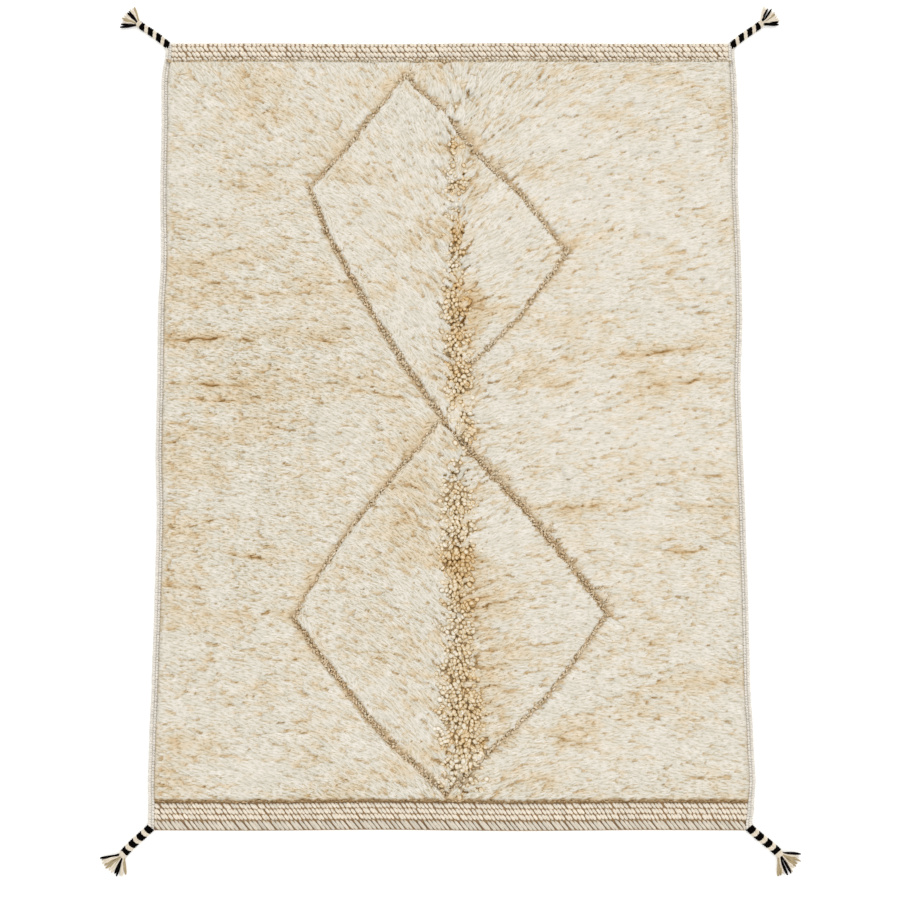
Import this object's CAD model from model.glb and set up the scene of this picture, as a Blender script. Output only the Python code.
"""A hand-knotted wool rug: ivory shag with a brown lozenge pattern, twined end bands, bound
sides and a plaited braid with a tassel at each corner.

Metres, +Z up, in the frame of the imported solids: the origin is on the floor under the middle
of the rug, +Y runs along the warp towards the narrow band, and +X along the weft.
"""

import math

import bpy
import numpy as np
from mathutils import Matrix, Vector, noise

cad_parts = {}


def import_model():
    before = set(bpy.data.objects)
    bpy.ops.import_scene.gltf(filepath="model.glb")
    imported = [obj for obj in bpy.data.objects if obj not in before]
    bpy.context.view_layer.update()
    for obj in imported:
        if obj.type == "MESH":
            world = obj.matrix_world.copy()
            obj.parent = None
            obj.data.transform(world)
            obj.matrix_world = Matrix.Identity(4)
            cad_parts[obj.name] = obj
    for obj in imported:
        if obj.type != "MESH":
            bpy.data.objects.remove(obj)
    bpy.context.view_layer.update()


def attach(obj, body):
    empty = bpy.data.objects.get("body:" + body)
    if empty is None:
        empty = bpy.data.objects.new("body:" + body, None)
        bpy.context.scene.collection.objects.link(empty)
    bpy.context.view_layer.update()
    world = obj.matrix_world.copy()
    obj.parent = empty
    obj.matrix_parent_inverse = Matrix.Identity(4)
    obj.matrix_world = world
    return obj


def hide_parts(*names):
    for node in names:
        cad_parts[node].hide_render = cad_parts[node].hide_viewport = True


SEED = 5

# The rug's outline, as in its solids
HALF_WIDTH = 0.75
HALF_LENGTH = 1.016
PIECE_GAP = 0.0003
SELVEDGE_INSIDE = 0.734
PILE_X = 0.7337
PILE_TOP_Y = 0.9627
PILE_BOTTOM_Y = -0.9482
SIDE_WAVES = [
    # y, then how far the left and the right side lie out
    (-1.0, 0.0, 0.0),
    (-0.96, 0.0, 0.006),
    (-0.89, 0.002, 0.011),
    (-0.8, 0.001, 0.008),
    (-0.65, -0.002, 0.003),
    (-0.47, -0.004, 0.003),
    (-0.25, -0.005, 0.001),
    (-0.05, 0.002, -0.002),
    (0.08, 0.002, -0.004),
    (0.3, 0.004, 0.005),
    (0.42, 0.0, 0.005),
    (0.64, 0.006, 0.001),
    (0.78, 0.006, 0.006),
    (0.91, 0.009, 0.004),
    (1.0, 0.0, 0.0),
]
END_WAVE = 0.0016
END_WAVES_ACROSS = 8.5  # radians to a metre

FLOOR_CLEARANCE = 0.0003

# The ground weave under it all
GROUND_BOTTOM = 0.0002
GROUND_TOP = 0.0027
GROUND_INSET = 0.001

# The lumpy pile, as in its solid
PILE_TOP = 0.0215
PILE_RIM = 0.018
RIM_INSET = 0.0045
RIM_SOFTENING = 0.04
LUMP_HEIGHT = 0.0062
LUMPS_ALONG_WEFT = 17.0  # lumps to a metre
LUMPS_ALONG_WARP = 26.0
PARTING_X = 0.026
PARTING_WIDTH = 0.06
PARTING_DIP = 0.0022
PARTING_LUMPS = 1.3
LINE_DEPTH = 0.0032
LINE_TROUGH = 0.012

# The lozenge pattern
LOZENGE_LINES = [
    # half width, spill, lean in degrees above +X, and x, y and darkness of each of its points
    (0.005, 0.15, 100, [(-0.112, 0.928, 0.3), (-0.14, 0.889, 0.4), (-0.227, 0.781, 0.7),
                         (-0.242, 0.755, 0.6), (-0.358, 0.62, 0.6)]),
    (0.0056, 0.35, 45, [(-0.119, 0.929, 0.8), (-0.088, 0.89, 0.8), (-0.018, 0.826, 0.7),
                        (0.045, 0.74, 0.5), (0.112, 0.666, 0.25), (0.15, 0.632, 0.5),
                        (0.19, 0.592, 0.6), (0.22, 0.553, 0.35), (0.302, 0.447, 0.8)]),
    (0.0086, 0.3, 62, [(-0.361, 0.624, 0.5), (-0.311, 0.49, 0.8), (-0.255, 0.386, 0.8),
                        (-0.199, 0.291, 0.6), (-0.108, 0.143, 0.7), (-0.012, 0.004, 0.7)]),
    (0.0054, 0.15, 60, [(0.305, 0.456, 0.45), (0.268, 0.401, 0.35), (0.21, 0.327, 0.5),
                        (0.182, 0.284, 0.4), (0.12, 0.22, 0.3), (0.052, 0.16, 0.15)]),
    (0.0056, 0.1, 54, [(-0.028, 0.01, 0.2), (-0.07, -0.05, 0.3), (-0.138, -0.131, 0.55),
                        (-0.208, -0.213, 0.4), (-0.269, -0.291, 0.5), (-0.359, -0.427, 0.5),
                        (-0.394, -0.492, 0.6)]),
    (0.0086, 0.5, 35, [(-0.012, 0.004, 0.9), (0.022, -0.038, 0.9), (0.098, -0.121, 0.95),
                        (0.176, -0.203, 0.9), (0.281, -0.332, 0.9), (0.399, -0.486, 0.9)]),
    (0.0088, 0.25, 75, [(-0.398, -0.484, 0.8), (-0.358, -0.54, 1.0), (-0.205, -0.739, 0.95),
                        (-0.136, -0.814, 0.8), (-0.007, -0.928, 0.7)]),
    (0.0044, 0.1, 50, [(0.395, -0.477, 0.5), (0.353, -0.536, 0.4), (0.292, -0.619, 0.4),
                        (0.227, -0.699, 0.4), (0.115, -0.802, 0.35), (-0.007, -0.928, 0.45)]),
]
LINE_TUFTS = 740  # to a metre
LINE_TUFT_LENGTH = (0.008, 0.014)
LINE_TUFT_HALF_WIDTH = (0.0018, 0.0031)
LINE_TUFT_CURL = 0.004
LINE_TUFT_RISES = ((45, 70), (-25, 10))  # degrees, at the root and at the tip
LINE_SPILL = 0.034  # how far the spilt tufts reach to the right of a line
LINE_REACH = 0.01  # how far either side of a line the pile is open

# How the ivory pile lies: it leans away from the parting, and up the rug
LEAN_TABLE = [
    # y, left_edge, left_inner, right_edge, right_inner: degrees above the weft
    (-0.95, 6, 36, -2, 22),
    (-0.6, 8, 42, -2, 22),
    (-0.2, 2, 36, 4, 20),
    (0.2, 4, 40, 10, 26),
    (0.6, 12, 55, 14, 44),
    (0.8, 24, 66, 13, 58),
    (0.95, 42, 76, 16, 66),
]
LEAN_REACH = 0.26
PARTING_BLEND = 0.022  # either side of the parting the locks turn over from left to right
LEAN_WANDER = math.radians(10)
LEAN_WANDERS = 5.0  # to a metre

# The parting, where the locks stand up and show their ends
PARTING_TABLE = [
    # y, strength, half_width, middle
    (-0.93, 0.6, 0.05, 0.02),
    (-0.85, 0.8, 0.044, 0.026),
    (-0.74, 0.95, 0.046, 0.03),
    (-0.65, 1.0, 0.038, 0.022),
    (-0.56, 0.85, 0.032, 0.018),
    (-0.48, 0.75, 0.032, 0.022),
    (-0.4, 0.9, 0.03, 0.018),
    (-0.32, 1.0, 0.036, 0.02),
    (-0.2, 0.9, 0.032, 0.022),
    (-0.13, 0.65, 0.026, 0.012),
    (-0.08, 0.25, 0.02, 0.022),
    (-0.03, 0.65, 0.024, 0.04),
    (0.02, 0.8, 0.026, 0.03),
    (0.1, 0.82, 0.026, 0.02),
    (0.2, 0.85, 0.028, 0.018),
    (0.28, 0.85, 0.026, 0.018),
    (0.36, 0.8, 0.026, 0.017),
    (0.46, 0.78, 0.025, 0.018),
    (0.56, 0.7, 0.024, 0.018),
    (0.64, 0.55, 0.022, 0.017),
    (0.72, 0.38, 0.02, 0.016),
    (0.79, 0.14, 0.018, 0.012),
    (0.93, 0.03, 0.024, 0.022),
]
PARTING_WANDER = 0.005

# Clefts, where the pile falls open and shows its golden roots
CLEFTS = [
    # start_x, start_y, end_x, end_y, strength
    (-0.645, 0.375, -0.545, 0.35, 0.55),
    (-0.74, 0.215, -0.54, 0.225, 0.95),
    (-0.54, 0.225, -0.48, 0.2, 1.0),
    (-0.375, 0.225, -0.27, 0.205, 0.55),
    (-0.73, 0.105, -0.48, 0.095, 0.85),
    (-0.7, 0.065, -0.495, 0.055, 0.6),
    (-0.46, 0.01, -0.345, 0.005, 0.5),
    (-0.255, 0.09, -0.175, 0.08, 0.75),
    (-0.205, 0.08, -0.1, 0.065, 0.7),
    (-0.59, -0.11, -0.555, -0.16, 0.6),
    (-0.565, -0.33, -0.43, -0.345, 0.95),
    (-0.645, -0.37, -0.56, -0.38, 0.6),
    (-0.73, -0.41, -0.6, -0.42, 0.6),
    (-0.56, -0.22, -0.535, -0.24, 0.5),
    (-0.18, -0.15, -0.065, -0.17, 0.55),
    (-0.465, -0.655, -0.4, -0.665, 0.5),
    (-0.665, -0.9, -0.6, -0.91, 0.5),
    (-0.515, -0.87, -0.485, -0.895, 0.45),
    (-0.25, -0.61, -0.16, -0.645, 0.45),
    (0.455, 0.945, 0.595, 0.925, 0.5),
    (0.33, 0.755, 0.41, 0.78, 0.5),
    (0.64, 0.76, 0.72, 0.79, 0.5),
    (0.55, 0.455, 0.595, 0.48, 0.5),
    (0.42, 0.175, 0.655, 0.2, 0.8),
    (0.27, 0.16, 0.345, 0.17, 0.6),
    (0.255, 0.085, 0.325, 0.115, 0.6),
    (0.505, 0.095, 0.735, 0.125, 0.85),
    (0.255, -0.22, 0.4, -0.205, 0.85),
    (0.43, -0.22, 0.495, -0.215, 0.6),
    (0.4, -0.245, 0.525, -0.225, 0.55),
    (0.6, -0.21, 0.73, -0.215, 0.5),
    (0.53, -0.335, 0.665, -0.32, 0.85),
    (0.355, -0.26, 0.395, -0.245, 0.5),
    (0.25, -0.8, 0.34, -0.79, 0.5),
]
SMALL_CLEFTS = 150
SMALL_CLEFT_LENGTH = (0.02, 0.07)
SMALL_CLEFT_STRENGTH = (0.1, 0.42)
SMALL_CLEFT_TURN = math.radians(12)
CLEFT_REACH = 0.014
CLEFT_CLEARANCE = 0.92  # of a lock's half width, at a cleft of full strength
CLEFT_WARMTH = 0.7
CLEFT_DEPTH = 0.0044
CLEFT_HALF_WIDTH = 0.0026
CLEFT_WOBBLE = 0.0058
CLEFT_OPENING = math.radians(4)  # the locks beside it lean away from it

# Patches of more golden, and of rougher, wool
PATCHES = [
    # x, y, radius_x, radius_y, how golden, how rough
    (0.1, -0.72, 0.06, 0.15, 0.6, 0.2),
    (0.5, 0.19, 0.27, 0.03, 0.6, 0.3),
    (0.45, 0.93, 0.17, 0.03, 0.35, 0.1),
    (0.18, 0.11, 0.11, 0.03, 0.5, 0.2),
    (0.18, 0.175, 0.06, 0.03, 0.5, 0.1),
    (0.5, -0.21, 0.22, 0.024, 0.35, 0.2),
    (-0.535, 0.345, 0.12, 0.03, 0.45, 0.2),
    (-0.5, 0.227, 0.2, 0.024, 0.4, 0.2),
    (-0.5, 0.08, 0.2, 0.024, 0.35, 0.2),
    (-0.5, -0.34, 0.15, 0.024, 0.3, 0.2),
    (-0.48, 0.12, 0.28, 0.26, 0.12, 0.45),
    (-0.56, -0.3, 0.22, 0.12, 0.0, 0.25),
    (-0.11, -0.42, 0.15, 0.24, 0.08, 0.5),
    (0.12, -0.74, 0.11, 0.18, 0.0, 0.35),
    (0.0, -0.92, 0.72, 0.035, 0.12, 0.45),
    (0.45, 0.62, 0.3, 0.3, -0.1, -0.35),
    (0.5, 0.0, 0.25, 0.11, -0.06, -0.3),
    (0.52, -0.6, 0.24, 0.26, 0.04, 0.28),
    (-0.16, 0.56, 0.13, 0.2, -0.08, -0.25),
    (0.04, 0.5, 0.038, 0.26, 0.5, 0.05),
    (0.055, 0.2, 0.055, 0.22, 0.5, 0.0),
    (0.06, -0.35, 0.055, 0.25, 0.55, 0.0),
    (-0.5, 0.0, 0.3, 1.2, 0.04, 0.3),
    (0.45, 0.0, 0.3, 1.2, 0.0, -0.25),
]

# The pelt: broad locks pressed into one lumpy surface, each highest near its tip
BROAD_LOCKS = {
    "step": 0.015,
    "jitter": 0.38,
    "length": (0.03, 0.048),
    "half_width": (0.0055, 0.0085),
    "half_height": (0.001, 0.0017),
    "root_drop": (0.0016, 0.0034),
    "tip_drop": 0.001,
    "lift": 0.0,
    "unevenness": 0.0008,
    "tone_spread": 0.4,
}
# The nubs: blunt ends of wool that stand up along the parting
NUBS = {
    "step": 0.009,
    "jitter": 0.26,
    "length": (0.008, 0.014),
    "half_width": (0.0046, 0.0072),
    "half_height": (0.0024, 0.0036),
    "root_drop": (0.0, 0.0),
    "lift": 0.001,
    "unevenness": 0.0012,
    "tone_spread": 0.5,
}
NUB_WARMTH = 0.23
NUB_DEPTH_SCALE = 9.0
NUB_SINK = 0.12  # of its length, under the height of its top
NUB_SURFACE_DROP = 0.0008  # its depth is counted from this far under its top
NUB_DRIFT = 0.003
NUB_RISES = (30, -35)  # degrees, at the root and at the tip
NUB_SHARES = np.array([0.0, 0.25, 0.55, 0.85, 1.0])
NUB_SWELL = np.array([0.55, 0.85, 1.0, 0.95, 0.55])
PARTING_LEAN = math.radians(-88)
PARTING_LEAN_SPREAD = 0.5
PARTING_REACH = 0.085
CREST_AT = 0.7  # how far along a lock its crest is
COARSE_X = 0.0042
FINE_X = 0.0027
FINE_FROM, FINE_TO = -0.045, 0.105
STEP_Y = 0.0036
PELT_INSET = 0.0022
PELT_SIDE_REACH = 0.0012
PELT_FAR_REACH = 0.0015
PELT_ROUNDING = 0.008
PELT_EDGE = 0.001
PELT_THINNEST = 0.003
PELT_SIDE_ROUNDING = 0.019
NEAR_EDGE_WAVE = 0.008  # how far the locks stop short of the near band
NEAR_EDGE_DEPTH = 0.0058
PELT_BARE_DEPTH = 0.0038
PELT_PARTING_DEPTH = 0.0041
PELT_LINE_DEPTH = 0.0012
PELT_PANELS = 3
PELT_DEPTH_SHARE = 0.6
HOLLOW_REACH = 2  # cells
FIBRE_WIDTH = 0.0044
FIBRE_LENGTH = 0.02

# How locks end, the short ones that hang over the far edge, and how a pointed strand narrows
STRAND_SHARES = np.array([0.0, 0.36, 0.72, 1.0])
STRAND_SWELL = np.array([0.72, 1.0, 0.8, 0.0])
STRAND_ROLL = 0.2
STRAND_DEPTH = 0.0034  # how deep they count as lying
LOCK_FOOT = 0.004  # no lock starts lower
LEAN_SPREAD = math.radians(7)
FAN_REACH = 0.016  # how far the locks fan out from the far side of a lozenge line
FAN_TURN = 0.55
OVERHANGS = ((0.002, 0.009), (0.002, 0.009), (0.0, 0.002))  # at the sides, far end, near end
SHORTEST_REACH = 0.004
NEARLY_NOTHING = 1e-6
RIM_LOCK_STEP = 0.0078
RIM_LOCK_LENGTH = (0.013, 0.019)
RIM_LOCK_HALF_WIDTH = (0.0036, 0.0054)
RIM_LOCK_HALF_HEIGHT = (0.0014, 0.002)
RIM_JITTER = 0.003
RIM_ROOT_INSET = 0.006
RIM_LEVELS = (0.008, 0.0125)  # the heights that the locks start at
RIM_RISES = (26, -42)  # degrees, at the root and at the tip

# The brown seam along the pile's near edge
SEAM_TUFTS = 900
SEAM_TUFT_LENGTH = (0.008, 0.013)
SEAM_TUFT_HALF_WIDTH = (0.0012, 0.0022)
SEAM_TUFT_INSET = (0.0005, 0.0045)  # of their roots, from the pile's edge
SEAM_TUFT_BASE = (0.0045, 0.0085)
SEAM_TUFT_RISES = ((15, 40), (-30, 0))
SEAM_SURFACE = 0.0105  # the height that their depth is counted from

# The twined end bands
TOP_RIBS = [
    # width, crest, from the pile outwards
    (0.015, 0.0062),
    (0.0145, 0.0066),
    (0.0145, 0.0064),
    (0.009, 0.0056),
]
BOTTOM_RIBS = [
    # width, crest, from the pile outwards
    (0.0135, 0.0062),
    (0.0135, 0.0066),
    (0.014, 0.0064),
    (0.0265, 0.0072),
]
STITCH_PITCH = 0.0116
BEAD_PITCH = 0.0097  # of the near band's narrow ribs
EDGE_ROW_TONE = -3.4  # its wide edge row is darker, with narrower wraps
EDGE_ROW_WIDTH = 0.9
EDGE_ROW_STRETCH = 0.97
EDGE_ROW_FROM = 0.02  # a wider row is the edge row
BAND_REACH = SELVEDGE_INSIDE - 0.003
STITCH_SLANT = math.radians(48)
STITCH_HALF_WIDTH = 0.0049
STITCH_HALF_HEIGHT = 0.0024
STITCH_FOOT = 0.002
END_CLEARANCE = 0.0012  # between the rug's ends and the middle of any stitch or wrap
STITCH_SHARES = np.array([0.0, 0.24, 0.5, 0.76, 1.0])
STITCH_SWELL = np.array([0.34, 0.9, 1.0, 0.9, 0.34])

# The bound sides: wraps over an inner strip and an outer cord
STRIP_PITCH = 0.007
STRIP_ARCH = [
    # from_inside, height of the wrap's middle
    (0.0002, 0.0052),
    (0.002, 0.0062),
    (0.0042, 0.006),
    (0.0062, 0.005),
]
CORD_PITCH = 0.0056
CORD_ARCH = [
    # from_inside, height of the wrap's middle
    (0.0066, 0.005),
    (0.0088, 0.0068),
    (0.0115, 0.0074),
    (0.014, 0.006),
    (0.0149, 0.0026),
]
SELVEDGE_PARTS = [
    # name, arch, pitch, tone
    ("strip", STRIP_ARCH, STRIP_PITCH, -0.5),
    ("cord", CORD_ARCH, CORD_PITCH, 0.0),
]
WRAP_HALF_HEIGHT = 0.0014
WRAP_SLANT = 0.0022

# The corner braids
SELVEDGE_WIDTH = 0.016
PLAIT_HALF_WIDTH = 0.0094
PLAIT_HEIGHT = 0.0104
PLAIT_LOBES = 7
BLACK_SHARE = 1.18  # of a block's even share of the plait
TOP_LOBES = (0.0008, 0.62)  # how far a block's middle runs ahead, and its ends' slant
BOTTOM_LOBES = (0.0056, 0.1)
LOBE_YARNS = 3
LOBE_SECTION = [
    # across, height, both as shares
    (0.02, 0.74),
    (0.16, 0.88),
    (0.32, 0.98),
    (0.48, 1.0),
    (0.62, 0.95),
    (0.75, 0.85),
    (0.86, 0.7),
    (0.94, 0.52),
    (0.98, 0.36),
]
LOBE_SWELL = np.array([0.75, 0.9, 1.0, 1.0, 1.0, 1.0, 0.95, 0.85, 0.7])
YARN_SWELL = np.array([0.75, 0.9, 1.0, 1.0, 1.0, 1.0, 1.0, 0.95, 0.6])
YARN_CLEARANCE = 0.0002  # under the lowest yarns
NECK_LENGTH = 0.008
NECK_HALF_WIDTH = 0.0096
NECK_HEIGHT = 0.0122
NECK_WRAPS = 5
HEAD_RADIUS = 0.012
YARN_LENGTHS = (0.037, 0.044)
PLY_RADIUS = 0.00235
BLACK_YARN_LIFT = 0.0018
BRAID_RINGS = 9
PATH_STEP = 0.001
CORNERS = [
    # name, side_x, side_y, neck_x, neck_y, fan_turn, fan_spread, size, yarns
    ("top_left", -1, 1, -0.825, 1.07, 146, 86, 0.95, "KKITTIIKKIIT"),
    ("top_right", 1, 1, 0.825, 1.0712, 38, 84, 0.95, "IIKKIITIIIKK"),
    ("bottom_left", -1, -1, -0.8125, -1.0775, 233, 96, 1.05, "TIIKKIITTIIK"),
    ("bottom_right", 1, -1, 0.818, -1.075, 311, 96, 1.05, "KITTTIIKKITT"),
]

# Colours of the wool, by how deep it lies in the pile: a share of so many millimetres
DEPTH_SCALE = 12.0
IVORY_BY_DEPTH = [
    (0.0, (0.776, 0.736, 0.668)),
    (0.22, (0.745, 0.64, 0.49)),
    (0.45, (0.665, 0.495, 0.305)),
    (0.75, (0.46, 0.274, 0.108)),
    (1.0, (0.31, 0.15, 0.04)),
]
NUBS_BY_DEPTH = [
    (0.0, (0.89, 0.84, 0.75)),
    (0.22, (0.83, 0.705, 0.52)),
    (0.45, (0.72, 0.495, 0.24)),
    (0.7, (0.46, 0.235, 0.062)),
    (1.0, (0.28, 0.11, 0.018)),
]
BROWN_BY_DEPTH = [
    (0.0, (0.8, 0.675, 0.5)),
    (0.35, (0.7, 0.515, 0.315)),
    (0.65, (0.45, 0.275, 0.125)),
    (1.0, (0.17, 0.085, 0.03)),
]
DASH = 0.26  # how much deeper the wool looks in the thin gaps between fibres
FIBRE_SHADE = 0.31  # how much darker it is there
SHADE_WARMTH = 1.3  # the power of the blue in those gaps
SIDE_GOLD = 0.16  # and where it turns away from the light
UPWARD = 0.72  # how far soft wool is lit as if it faced up
YARN_TONE_SWING = 0.05  # how much lighter or darker one yarn is than the next
GROUND_TAN = (0.36, 0.225, 0.11)
BAND_CREST = (0.835, 0.76, 0.645)
BAND_VALLEY_BROWN = (0.6, 0.46, 0.29)
SIDE_CREST = (0.8, 0.76, 0.7)
SIDE_VALLEY = (0.73, 0.67, 0.58)
BRAID_BLACK = (0.004, 0.003, 0.003)
BRAID_BLACK_SHEEN = (0.012, 0.009, 0.009)
BRAID_IVORY = (0.8, 0.72, 0.6)
BRAID_TAN = (0.43, 0.34, 0.2)
FLOOR_WHITE = (0.98, 0.98, 0.98)
FLOOR_GLOW = 0.18
FLOOR_REACH = 12.0

# The camera and the lights
CAMERA_AIM = (0.0, -0.0645, 0.0)
CAMERA_DISTANCE = 4.0
CAMERA_TILT = math.radians(7.03)
CAMERA_LENS = 62.6
SENSOR_WIDTH = 36.0
SKY_COLOUR = (1.0, 0.988, 0.962)
SKY_STRENGTH = 1.0
KEY_COLOUR = (1.0, 0.985, 0.96)
KEY_STRENGTH = 0.55
KEY_ANGLE = math.radians(28)
KEY_TURN = (math.radians(-38), math.radians(30), 0.0)


def add_object(name, data):
    thing = bpy.data.objects.new(name, data)
    bpy.context.scene.collection.objects.link(thing)
    return thing


def add_camera():
    data = bpy.data.cameras.new("camera")
    data.lens = CAMERA_LENS
    data.sensor_width = SENSOR_WIDTH
    camera = add_object("camera", data)
    back = Vector((0.0, -math.sin(CAMERA_TILT), math.cos(CAMERA_TILT)))
    camera.location = Vector(CAMERA_AIM) + CAMERA_DISTANCE * back
    camera.rotation_euler = (CAMERA_TILT, 0.0, 0.0)
    bpy.context.scene.camera = camera


def add_lights():
    world = bpy.data.worlds.new("studio")
    world.use_nodes = True
    background = world.node_tree.nodes["Background"]
    background.inputs["Color"].default_value = (*SKY_COLOUR, 1.0)
    background.inputs["Strength"].default_value = SKY_STRENGTH
    bpy.context.scene.world = world
    sun = bpy.data.lights.new("key", "SUN")
    sun.energy = KEY_STRENGTH
    sun.angle = KEY_ANGLE
    sun.color = KEY_COLOUR
    add_object("key", sun).rotation_euler = KEY_TURN
    bpy.context.scene.view_settings.view_transform = "Standard"


# ---------------------------------------------------------------------------
# Fields over the rug


def draws(layer):
    return np.random.default_rng(SEED + layer)


def soft_noise(x, y, along_x, along_y, layer):
    """Smooth noise of about -1 to 1, with so many waves to a metre along X and along Y."""
    return np.array([noise.noise((a, b, SEED + layer)) for a, b in zip(along_x * x, along_y * y)])


def bell(distance, reach):
    return np.exp(-((distance / reach) ** 2))


def unit(angle):
    return np.stack([np.cos(angle), np.sin(angle)], axis=-1)


def normalised(vectors):
    return vectors / np.linalg.norm(vectors, axis=-1, keepdims=True)


def read_table(table, at):
    """The columns after the first, read at positions along the first and eased between rows."""
    rows = np.array(table, float)
    low = np.clip(np.searchsorted(rows[:, 0], at) - 1, 0, len(rows) - 2)
    share = np.clip((at - rows[low, 0]) / (rows[low + 1, 0] - rows[low, 0]), 0, 1)
    ease = (1 - np.cos(np.pi * share)) / 2
    return (rows[low, 1:] + (rows[low + 1, 1:] - rows[low, 1:]) * ease[:, None]).T


def hand_woven(points):
    """Where points of a straight-edged rug lie on this rug, whose edges wander a little."""
    x, y, z = points.reshape(-1, 3).T
    left_out, right_out = read_table(SIDE_WAVES, y)
    out = np.where(x < 0, left_out, right_out)
    inside = np.clip(1 - (x / SELVEDGE_INSIDE) ** 2, 0, None)
    wave = END_WAVE * np.sin(END_WAVES_ACROSS * x) * inside
    moved = np.stack([x * (1 + out / HALF_WIDTH), y + wave * y / HALF_LENGTH, z], axis=-1)
    return moved.reshape(points.shape)


def line_parts():
    """The straight parts of the lozenge lines: the line's half width, spill and lean, then the
    part's two ends, its unit direction, the unit vector to its right and its length."""
    for *line, points in LOZENGE_LINES:
        for start, end in zip(np.array(points[:-1]), np.array(points[1:])):
            length = np.linalg.norm((end - start)[:2])
            direction = (end - start)[:2] / length
            normal = np.array([-direction[1], direction[0]])
            yield line, start, end, direction, normal if normal[0] > 0 else -normal, length


def read_lines(x, y):
    """The lozenge line nearest to each point: the distance to its right, the unit vector
    there, the line's half width and its darkness."""
    nearest, half_width, darkness = np.full(len(x), np.inf), 0 * x, 0 * x
    outward = np.zeros((len(x), 2))
    for line, start, end, direction, normal, length in line_parts():
        away = np.stack([x, y], axis=-1) - start[:2]
        along = np.clip(away @ direction, 0, length)
        gap = away - along[:, None] * direction
        distance = np.linalg.norm(gap, axis=1) * np.where(gap @ normal < 0, -1, 1)
        nearer = np.abs(distance) < np.abs(nearest)
        nearest[nearer], outward[nearer], half_width[nearer] = distance[nearer], normal, line[0]
        darkness[nearer] = (start[2] + (end[2] - start[2]) * along / length)[nearer]
    return nearest, outward, half_width, darkness


def pile_height(x, y):
    """The height of the lumpy pile above points in plan."""
    from_end = np.minimum(PILE_TOP_Y - y, y - PILE_BOTTOM_Y)
    from_edge = np.minimum(PILE_X - np.abs(x), from_end) - RIM_INSET
    crown = np.sin(np.pi / 2 * np.clip(from_edge / RIM_SOFTENING, 0, 1))
    parting = bell(x - PARTING_X, PARTING_WIDTH)
    lumps = LUMP_HEIGHT * soft_noise(x, y, LUMPS_ALONG_WEFT, LUMPS_ALONG_WARP, 0)
    side, outward, half_width, darkness = read_lines(x, y)
    trough = np.clip(1 - np.abs(side) / LINE_TROUGH, 0, None) * np.clip(darkness + 0.4, 0, 1)
    height = PILE_RIM + (PILE_TOP - PILE_RIM) * crown + lumps * (1 + PARTING_LUMPS * parting)
    return height - PARTING_DIP * parting - LINE_DEPTH * trough


def surface_at(x, y):
    """The pile's height at points in plan, or at the pile's edge for points beyond it."""
    inside_x, inside_y = np.clip(x, -PILE_X, PILE_X), np.clip(y, PILE_BOTTOM_Y, PILE_TOP_Y)
    return pile_height(inside_x.ravel(), inside_y.ravel()).reshape(x.shape)


def parting_share(x, y):
    """How far the locks stand up and apart at each point, from 0 to 1."""
    strength, half_width, middle = read_table(PARTING_TABLE, y)
    middle = middle + PARTING_WANDER * soft_noise(0 * x, y, 1, 9, 21)
    return strength * bell(x - middle, half_width)


def all_clefts():
    """The clefts placed by hand, and short faint ones scattered over the field."""
    yield from CLEFTS
    chance = draws(40)
    for _ in range(SMALL_CLEFTS):
        x, y = chance.uniform(-PILE_X, PILE_X), chance.uniform(PILE_BOTTOM_Y, PILE_TOP_Y)
        length = chance.uniform(*SMALL_CLEFT_LENGTH)
        turn = chance.normal(0, SMALL_CLEFT_TURN)
        end_x, end_y = x + length * math.cos(turn), y + length * math.sin(turn)
        yield x, y, end_x, end_y, chance.uniform(*SMALL_CLEFT_STRENGTH)


def read_clefts(x, y):
    """The cleft that counts most at each point: its nearness and its strength there, both from
    0 to 1, the point's distance to its left and the unit vector to its left."""
    nearness, strong, to_side = np.zeros((3, len(x)))
    normals = np.zeros((len(x), 2))
    wobble = CLEFT_WOBBLE * soft_noise(x, y, 30, 4, 41)
    broken = np.clip(0.80 + 0.9 * soft_noise(x, y, 22, 22, 42), 0.15, 1.1)
    for start_x, start_y, end_x, end_y, strength in all_clefts():
        span = np.array([end_x - start_x, end_y - start_y])
        length = np.linalg.norm(span)
        normal = np.array([-span[1], span[0]]) / length
        away = np.stack([x - start_x, y - start_y], axis=-1)
        share = (away @ span) / length**2
        fade = strength * broken * np.sqrt(np.clip(1 - (2 * share - 1) ** 2, 0, 1))
        side = away @ normal + wobble
        near = fade * bell(side, CLEFT_REACH)
        nearer = near > nearness
        nearness[nearer], strong[nearer], to_side[nearer] = near[nearer], fade[nearer], side[nearer]
        normals[nearer] = normal
    return nearness, strong, to_side, normals


def read_patches(x, y):
    """How golden the wool is at each point, before the clefts are counted, and how rough."""
    warmth = 0.06 + 0.85 * soft_noise(x, y, 5, 13, 3) + 0.36 * soft_noise(x, y, 32, 55, 4)
    rough = 0.95 + 0.35 * soft_noise(x, y, 5, 8, 5)
    for patch_x, patch_y, radius_x, radius_y, golden, shaggy in PATCHES:
        share = bell(x - patch_x, radius_x) * bell(y - patch_y, radius_y)
        warmth += golden * share
        rough += shaggy * share
    return warmth, rough.clip(0.35, 2.0)


def lean_of(x, y):
    """The direction in plan in which the pile leans, in radians from +X."""
    left_edge, left_inner, right_edge, right_inner = np.radians(read_table(LEAN_TABLE, y))
    inner = bell(x - PARTING_X, LEAN_REACH)
    left = left_edge + (left_inner - left_edge) * inner
    right = right_edge + (right_inner - right_edge) * inner
    share = np.clip(0.5 + (x - PARTING_X) / (2 * PARTING_BLEND), 0, 1)
    blend = (1 - share) * np.exp(1j * (np.pi - left)) + share * np.exp(1j * right)
    return np.angle(blend) + LEAN_WANDER * soft_noise(x, y, LEAN_WANDERS, LEAN_WANDERS, 11)


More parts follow.
